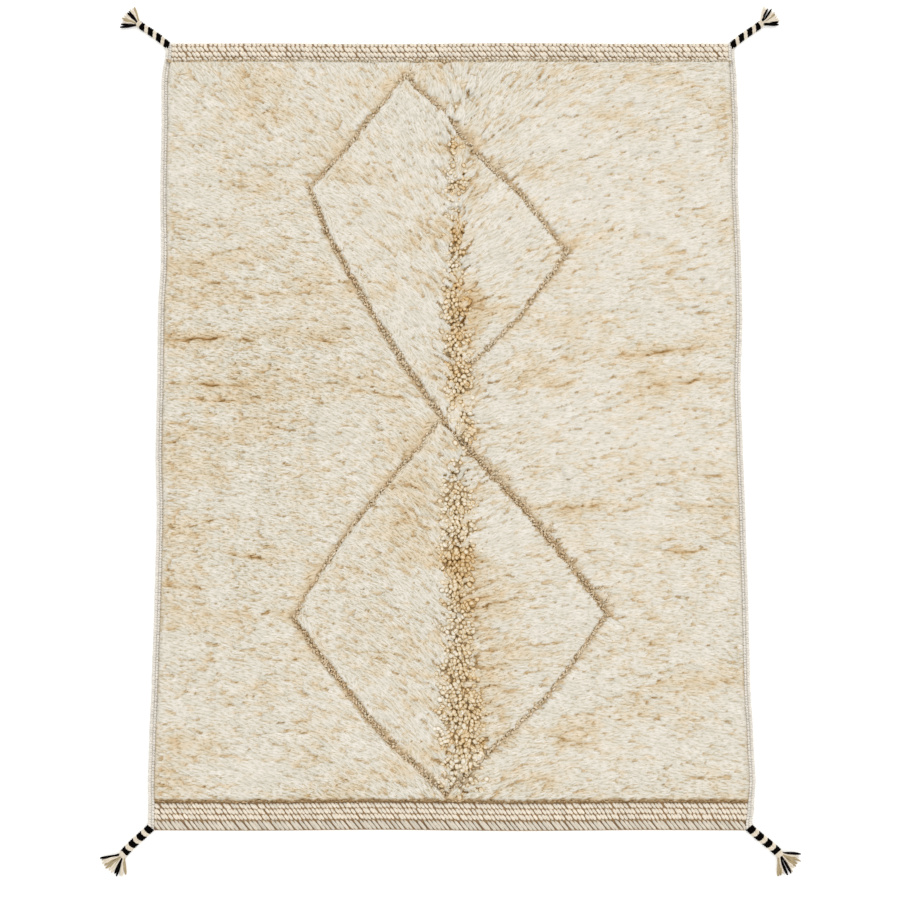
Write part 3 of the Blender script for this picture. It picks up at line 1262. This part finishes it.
class BraidPath:
    """The plan of a braid's middle line, from the rug's corner to the tassel's neck."""

    def __init__(self, root, root_turn, neck, neck_turn):
        reach = np.linalg.norm(neck - root) / 3
        handles = [root, root + reach * unit(root_turn), neck - reach * unit(neck_turn), neck]
        t = np.linspace(0, 1, 81)[:, None]
        weights = [(1 - t) ** 3, 3 * t * (1 - t) ** 2, 3 * t**2 * (1 - t), t**3]
        self.points = sum(weight * handle for weight, handle in zip(weights, handles))
        steps = np.linalg.norm(np.diff(self.points, axis=0), axis=1)
        self.starts = np.concatenate([[0], np.cumsum(steps)])
        self.length = self.starts[-1]

    def place(self, distance, across):
        """Points at distances along the path, or straight on past its ends, and to its left."""
        inside = np.clip(distance, PATH_STEP, self.length - PATH_STEP)
        before, at, beyond = (
            np.stack([np.interp(inside + step, self.starts, axis) for axis in self.points.T], axis=-1)
            for step in (-PATH_STEP, 0.0, PATH_STEP)
        )
        ahead = normalised(beyond - before)
        left = np.stack([-ahead[..., 1], ahead[..., 0]], axis=-1)
        return at + (distance - inside)[..., None] * ahead + across[..., None] * left


def yarn(plan, height, half_width, half_height, warmth=0.0, lift=(0.0, 0.0, 1.0)):
    """One strand of a braid: its line, half widths, half heights, warmth and way up."""
    whole = np.ones(BRAID_RINGS)
    line = np.column_stack([plan, height * whole])
    return line, half_width * whole, half_height * whole, warmth, lift


def plait_yarns(path, size, point, skew):
    """Blocks of black and ivory by turns, each a V of yarns over a filling core."""
    half_width, height = PLAIT_HALF_WIDTH * size, PLAIT_HEIGHT * size
    pitch = (path.length - NECK_LENGTH * size) / PLAIT_LOBES
    across, rise = np.array(LOBE_SECTION).T
    for lobe in range(PLAIT_LOBES):
        colour = "KI"[lobe % 2]
        middle = (lobe + 0.5) * pitch
        block = pitch * (BLACK_SHARE if colour == "K" else 2 - BLACK_SHARE)
        core_at = middle + block * np.linspace(-0.5, 0.5, BRAID_RINGS)
        core = path.place(core_at, 0 * core_at)
        yield colour, yarn(core, 0.46 * height, 0.74 * half_width, 0.40 * height)
        slant = point * size * min(1.0, (lobe + 0.3) / 1.2)
        yarn_half = 0.56 * block / LOBE_YARNS
        line_z = np.maximum(rise * height - 0.8 * yarn_half, yarn_half + YARN_CLEARANCE)
        for side in (-1, 1):
            for number in range(LOBE_YARNS):
                start = middle + block * ((number + 0.5) / LOBE_YARNS - 0.5)
                at = start + slant * (0.45 - across) + skew * side * across * half_width
                plan = path.place(at, side * across * half_width)
                half = yarn_half * LOBE_SWELL
                yield colour, yarn(plan, line_z, half, 0.9 * half)


def neck_yarns(path, size):
    """Turns of ivory yarn round the neck of the tassel."""
    half_width, height = NECK_HALF_WIDTH * size, NECK_HEIGHT * size
    turns = np.linspace(math.radians(-28), math.radians(208), BRAID_RINGS)
    half = 0.62 * NECK_LENGTH * size / (NECK_WRAPS - 1)
    length = NECK_LENGTH * size * 1.15
    end, before_end = path.place(path.length - np.array([0, 0.002]), np.zeros(2))
    lift = (*normalised(end - before_end), 0.0)
    for wrap in range(NECK_WRAPS):
        at = path.length - length + length * wrap / (NECK_WRAPS - 1)
        plan = path.place(at + 0.0008 * np.cos(turns), (half_width - half) * np.cos(turns))
        line_z = height / 2 + (height / 2 - half) * np.sin(turns)
        yield "I", yarn(plan, np.maximum(line_z, half + YARN_CLEARANCE), half, half, lift=lift)


def tassel_yarns(neck, turn, spread, size, pattern, chance):
    """Two-ply yarn ends that fan out from the neck and lie down on the floor."""
    centre = neck - (HEAD_RADIUS - NECK_LENGTH / 2) * size * unit(turn)
    shares = np.linspace(0, 1, BRAID_RINGS)
    ply = PLY_RADIUS * size
    for i, colour in enumerate(pattern):
        yarn_turn = turn + spread * (0.5 - (i + 0.5) / len(pattern))
        yarn_turn += chance.uniform(-0.03, 0.03)
        length = chance.uniform(*YARN_LENGTHS) * size
        bow = chance.uniform(-0.0020, 0.0020)
        radius = (HEAD_RADIUS * 0.5) * size + shares * (length + HEAD_RADIUS * 0.5 * size)
        sideways = unit(yarn_turn + math.pi / 2)
        plan = centre + radius[:, None] * unit(yarn_turn)
        plan = plan + (bow * np.sin(math.pi * shares))[:, None] * sideways
        start_z = (0.0046 + 0.0016 * (i % 2)) * size
        middle_z = 2 * ply + (start_z - 2 * ply) * (1 - shares) ** 1.5
        middle_z = middle_z + (BLACK_YARN_LIFT if colour == "K" else 0.0)
        for phase in (0.0, math.pi):
            twist = phase + 4.0 * shares + chance.uniform(0, 1)
            offset = (0.50 * ply * np.cos(twist))[:, None] * sideways
            line_z = np.maximum(middle_z + 0.50 * ply * np.sin(twist), ply + 2 * YARN_CLEARANCE)
            warmth = 1.0 if colour == "T" else 0.0
            strand = yarn(plan + offset, line_z, ply * YARN_SWELL, ply * YARN_SWELL, warmth)
            yield "K" if colour == "K" else "I", strand


def build_braid(corner, materials):
    """One corner's plait, neck and tassel, as a black and an ivory piece."""
    name, side_x, side_y, neck_x, neck_y, fan_turn, fan_spread, size, pattern = corner
    chance = draws(70 + side_x + 2 * side_y)
    turn, spread = math.radians(fan_turn), math.radians(fan_spread)
    root_turn = math.atan2(side_y, side_x)
    inset = SELVEDGE_WIDTH / 2
    root = np.array([side_x * (HALF_WIDTH - inset), side_y * (HALF_LENGTH - inset)])
    neck = np.array([neck_x, neck_y])
    path = BraidPath(root + PIECE_GAP * unit(root_turn), root_turn, neck, turn)
    point, skew = TOP_LOBES if side_y > 0 else BOTTOM_LOBES
    strands = [
        *plait_yarns(path, size, point, side_x * skew),
        *neck_yarns(path, size),
        *tassel_yarns(neck, turn, spread, size, pattern, chance),
    ]
    for key, word in (("K", "black"), ("I", "ivory")):
        own = [strand for colour, strand in strands if colour == key]
        lines, half_widths, half_heights, warmth, lifts = map(np.array, zip(*own))
        add_strands(
            f"braid_{word}_{name}", materials[key], f"braid_{word}", f"corner_braid_{name}",
            lines, half_widths, half_heights, 6,
            {"warmth": warmth, "tone": chance.normal(0, 0.6, len(own))}, lift=lifts[:, None],
        )


# ---------------------------------------------------------------------------
# Materials


class Material:
    """One material, with the steps that add and link its nodes."""

    def __init__(self, name):
        self.material = bpy.data.materials.new(name)
        self.material.use_nodes = True
        self.nodes = self.material.node_tree.nodes

    def fill(self, node, sockets):
        """Gives sockets of a node a number or a colour, or links them."""
        for key, value in sockets.items():
            socket = node.inputs[key]
            if isinstance(value, bpy.types.NodeSocket):
                self.material.node_tree.links.new(value, socket)
            else:
                socket.default_value = (*value, 1.0) if socket.type == "RGBA" else value

    def add(self, kind, output, sockets, **settings):
        """Adds a node and gives one of its outputs."""
        node = self.nodes.new("ShaderNode" + kind)
        for key, value in settings.items():
            setattr(node, key, value)
        self.fill(node, sockets)
        return node.outputs[output]

    def mark(self, name):
        return self.add("Attribute", "Fac", {}, attribute_name=name)

    def math(self, operation, *values):
        return self.add("Math", 0, dict(enumerate(values)), operation=operation)

    def vector(self, operation, *values):
        return self.add("VectorMath", 0, dict(enumerate(values)), operation=operation)

    def fit(self, value, low, high, to_low=0.0, to_high=1.0):
        sockets = {"Value": value, "From Min": low, "From Max": high}
        sockets |= {"To Min": to_low, "To Max": to_high}
        return self.add("MapRange", "Result", sockets, interpolation_type="SMOOTHSTEP")

    def mix(self, factor, a, b, blend_type="MIX"):
        sockets = {0: factor, 6: a, 7: b}
        return self.add("Mix", 2, sockets, data_type="RGBA", blend_type=blend_type)

    def ramp(self, factor, stops):
        colour = self.add("ValToRGB", "Color", {"Fac": factor})
        marks = colour.node.color_ramp.elements
        for index, (position, shade) in enumerate(stops):
            mark = marks[index] if index < 2 else marks.new(position)
            mark.position, mark.color = position, (*shade, 1.0)
        return colour

    def noise(self, place, stretch, roughness):
        """Noise with so many waves to a unit along each axis of a place."""
        place = self.add("Mapping", "Vector", {"Vector": place, "Scale": stretch})
        sockets = {"Vector": place, "Scale": 1.0, "Detail": 3.0, "Roughness": roughness}
        return self.add("TexNoise", "Fac", sockets)

    def fibres(self, round_it=9.0, along_it=1.4):
        """Fine fibres that run along each strand."""
        place = self.add("UVMap", "UV", {}, uv_map="strand")
        return self.noise(place, (round_it, along_it, 1.0), 0.6)

    def relief(self, height, distance):
        return self.add("Bump", "Normal", {"Height": height, "Distance": distance, "Strength": 0.5})

    def shaded(self, colour, brightness, warm=1.0):
        """A colour made darker, and warmer too, as light that comes through wool is."""
        blue = self.math("POWER", brightness, warm) if warm > 1 else brightness
        channels = {"Red": brightness, "Green": brightness, "Blue": blue}
        shade = self.add("CombineColor", "Color", channels)
        return self.mix(1.0, colour, shade, "MULTIPLY")

    def finish(self, sockets):
        """Fills sockets of the material's shader."""
        self.fill(self.nodes["Principled BSDF"], sockets)
        return self.material

    def woolly(self, colour, normal, sheen=0.25, gloss=0.2):
        """Gives the shader a colour and a relief, and makes it rough with a soft sheen."""
        return self.finish({
            "Base Color": colour,
            "Normal": normal,
            "Roughness": 0.92,
            "Specular IOR Level": gloss,
            "Sheen Weight": sheen,
            "Sheen Roughness": 0.5,
        })

    def spun(self, colour, fibre, shades, relief, sheen=0.25, gloss=0.2):
        """Finishes smooth yarn, each strand a little lighter or darker than the next."""
        fibres = self.fibres(*fibre)
        brightness = self.math("MULTIPLY_ADD", self.mark("tone"), YARN_TONE_SWING, 1.0)
        brightness = self.math("MULTIPLY", brightness, self.fit(fibres, 0.3, 0.7, *shades))
        normal = self.relief(fibres, relief)
        return self.woolly(self.shaded(colour, brightness), normal, sheen, gloss)


def pile_wool(
    name, stops, line_stops=None, fibre=(9.0, 1.4), warmth_weight=0.30, swing=0.05, scale=DEPTH_SCALE
):
    """Wool that is pale at the surface of the pile and darker the deeper it lies, with thin
    golden gaps between its fibres."""
    wool = Material(name)
    fibres = wool.fibres(*fibre)
    normal = wool.relief(fibres, 0.0010)
    facing = wool.add("SeparateXYZ", "Z", {"Vector": normal})
    depth = wool.math("MULTIPLY", wool.mark("depth"), 1000.0 / scale)
    gap = wool.math("MULTIPLY", wool.fit(fibres, 0.46, 0.34, 0.0, DASH), wool.mark("rough"))
    deep = wool.math("MULTIPLY_ADD", wool.mark("warmth"), warmth_weight, depth)
    deep = wool.math("ADD", deep, wool.fit(facing, 0.95, 0.35, 0.0, SIDE_GOLD))
    colour = wool.ramp(wool.math("ADD", deep, gap), stops)
    if line_stops:
        colour = wool.mix(wool.mark("brown"), colour, wool.ramp(depth, line_stops))
    brightness = wool.math("MULTIPLY_ADD", wool.mark("tone"), swing, 1.0)
    coarse = wool.math("MULTIPLY_ADD", wool.mark("rough"), 0.5, 0.5)
    shade = wool.math("MULTIPLY", coarse, wool.fit(fibres, 0.62, 0.32, 0.0, FIBRE_SHADE))
    brightness = wool.math("MULTIPLY", brightness, wool.math("SUBTRACT", 1.02, shade))
    up = wool.vector("MULTIPLY_ADD", normal, (1 - UPWARD,) * 3, (0, 0, UPWARD))
    up = wool.vector("NORMALIZE", up)
    return wool.woolly(wool.shaded(colour, brightness, SHADE_WARMTH), up)


def stitch_wool(name, valley, crest):
    """Stitches that are light where they arch up and brown where they dive between others."""
    wool = Material(name)
    from_middle = wool.math("ABSOLUTE", wool.math("SUBTRACT", wool.mark("along"), 0.5))
    colour = wool.mix(wool.fit(from_middle, 0.28, 0.50), crest, valley)
    return wool.spun(colour, (6.0, 3.0), (0.90, 1.05), 0.0008)


def yarn_wool(name, colour, other, *finish):
    """Smooth twisted yarn, partly of another shade."""
    wool = Material(name)
    mixed = wool.mix(wool.mark("warmth"), colour, other)
    return wool.spun(mixed, (5.0, 4.0), (0.86, 1.06), 0.0006, *finish)


def plain_weave(name, colour):
    """A tight plain weave, with picks along X and warps along Y."""
    wool = Material(name)
    place = wool.add("TexCoord", "Object", {})
    picks, warps = (
        wool.add("TexWave", "Fac", {"Vector": place, "Scale": scale}, bands_direction=axis)
        for scale, axis in ((95.0, "Y"), (70.0, "X"))
    )
    weave = wool.math("MULTIPLY", picks, warps)
    speckle = wool.noise(place, (300.0, 300.0, 300.0), 0.5)
    brightness = wool.math("MULTIPLY", wool.fit(weave, 0.0, 0.8, 0.7, 1.1), speckle)
    brightness = wool.math("MULTIPLY_ADD", brightness, 0.9, 0.5)
    return wool.woolly(wool.shaded(colour, brightness), wool.relief(weave, 0.001))


def add_floor():
    mesh = bpy.data.meshes.new("floor")
    corners = [(x * FLOOR_REACH, y * FLOOR_REACH, 0) for x, y in ((-1, -1), (1, -1), (1, 1), (-1, 1))]
    mesh.from_pydata(corners, [], [(0, 1, 2, 3)])
    sockets = {"Base Color": FLOOR_WHITE, "Roughness": 0.9}
    glow = {"Emission Color": FLOOR_WHITE, "Emission Strength": FLOOR_GLOW}
    mesh.materials.append(Material("floor_white").finish(sockets | glow))
    add_object("floor", mesh)


def main():
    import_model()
    add_camera()
    add_lights()
    add_floor()
    ivory = pile_wool("wool_ivory", IVORY_BY_DEPTH)
    brown = pile_wool("wool_brown", BROWN_BY_DEPTH, warmth_weight=0.55, swing=0.10)
    band = stitch_wool("wool_band", BAND_VALLEY_BROWN, BAND_CREST)
    side_wool = stitch_wool("wool_selvedge", SIDE_VALLEY, SIDE_CREST)
    braid_wools = {
        "K": yarn_wool("wool_black", BRAID_BLACK, BRAID_BLACK_SHEEN, 0.0, 0.0),
        "I": yarn_wool("wool_braid_ivory", BRAID_IVORY, BRAID_TAN),
    }
    build_pelt(pile_wool("wool_pelt", IVORY_BY_DEPTH, BROWN_BY_DEPTH, (1.0, 1.0)))
    build_rim(ivory)
    build_nubs(pile_wool("wool_nubs", NUBS_BY_DEPTH, scale=NUB_DEPTH_SCALE))
    build_lozenges(brown)
    build_seam(brown)
    build_band(1, PILE_TOP_Y, TOP_RIBS, "end_band_top", band)
    build_band(-1, PILE_BOTTOM_Y, BOTTOM_RIBS, "end_band_bottom", band)
    build_selvedge(-1, "selvedge_left", side_wool)
    build_selvedge(1, "selvedge_right", side_wool)
    for corner in CORNERS:
        build_braid(corner, braid_wools)
    ground = build_ground(plain_weave("wool_ground", GROUND_TAN))


main()
